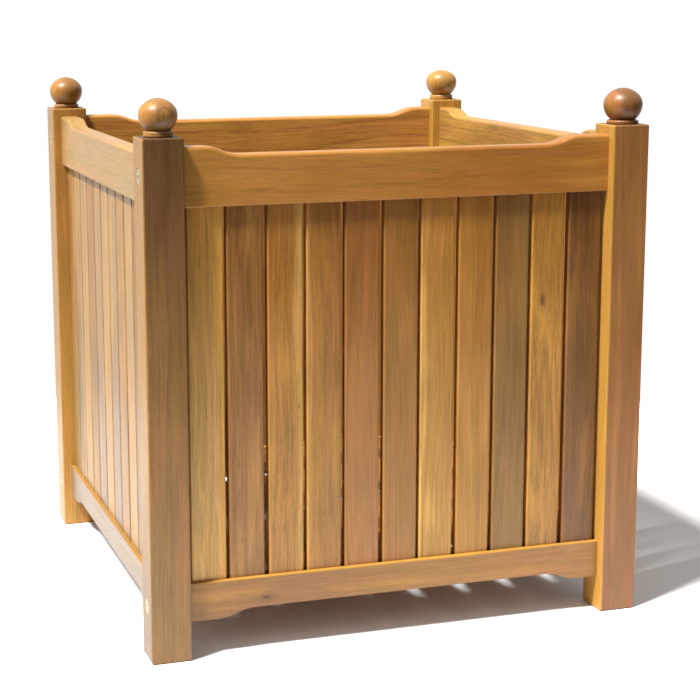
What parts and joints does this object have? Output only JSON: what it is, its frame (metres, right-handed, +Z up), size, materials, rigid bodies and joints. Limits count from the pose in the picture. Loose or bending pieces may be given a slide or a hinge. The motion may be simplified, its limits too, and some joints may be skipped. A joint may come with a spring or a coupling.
{
  "type": "planter box",
  "caption": "Square slatted wooden planter box with ball-topped corner posts, shaped rails and a loose slatted base that lifts out.",
  "frame": {"origin": "on the ground, under the middle of the box", "axes": "+X along the front to the right, +Y from the front to the back, +Z up"},
  "size_m": [0.5024, 0.5024, 0.5267],
  "materials": {
    "post_wood": "oiled hardwood, satin, brown with paler streaks",
    "finial_wood": "turned and oiled hardwood, satin",
    "rail_wood": "oiled hardwood, satin, golden brown",
    "slat_wood": "oiled hardwood, satin, strong variation from slat to slat",
    "base_wood": "planed hardwood, matt to satin",
    "dowel_wood": "plain beech dowel, matt",
    "bolt_metal": "yellow-passivated steel, satin",
    "screw_metal": "zinc-plated, satin"
  },
  "bodies": {
    "frame": {"finial_dowels": "dowel_wood", "frame_bolts": "bolt_metal", "front_bottom_rail": "rail_wood", "front_ledge": "base_wood", "front_left_finial": "finial_wood", "front_left_post": "post_wood", "front_right_finial": "finial_wood", "front_right_post": "post_wood", "front_slat_01": "slat_wood", "front_slat_02": "slat_wood", "front_slat_03": "slat_wood", "front_slat_04": "slat_wood", "front_slat_05": "slat_wood", "front_slat_06": "slat_wood", "front_slat_07": "slat_wood", "front_slat_08": "slat_wood", "front_slat_09": "slat_wood", "front_slat_10": "slat_wood", "front_slat_11": "slat_wood", "front_top_rail": "rail_wood", "ledge_screws": "screw_metal", "left_bottom_rail": "rail_wood", "left_slat_01": "slat_wood", "left_slat_02": "slat_wood", "left_slat_03": "slat_wood", "left_slat_04": "slat_wood", "left_slat_05": "slat_wood", "left_slat_06": "slat_wood", "left_slat_07": "slat_wood", "left_slat_08": "slat_wood", "left_slat_09": "slat_wood", "left_slat_10": "slat_wood", "left_slat_11": "slat_wood", "left_top_rail": "rail_wood", "rail_dowels": "dowel_wood", "rear_bottom_rail": "rail_wood", "rear_ledge": "base_wood", "rear_left_finial": "finial_wood", "rear_left_post": "post_wood", "rear_right_finial": "finial_wood", "rear_right_post": "post_wood", "rear_slats": "slat_wood", "rear_top_rail": "rail_wood", "right_bottom_rail": "rail_wood", "right_slats": "slat_wood", "right_top_rail": "rail_wood", "threaded_sleeves": "bolt_metal"},
    "base": {"base_screws": "screw_metal", "base_slat_1": "base_wood", "base_slat_2": "base_wood", "base_slat_3": "base_wood", "base_slat_4": "base_wood", "base_slat_5": "base_wood", "base_slat_6": "base_wood", "base_slat_7": "base_wood", "base_slat_8": "base_wood", "base_slat_9": "base_wood", "front_base_cleat": "base_wood", "rear_base_cleat": "base_wood"}
  },
  "joints": [
    {"name": "base_lift", "type": "slide", "parent": "frame", "child": "base", "axis": [0, 0, 1], "range_m": [0, 0.49]}
  ]
}
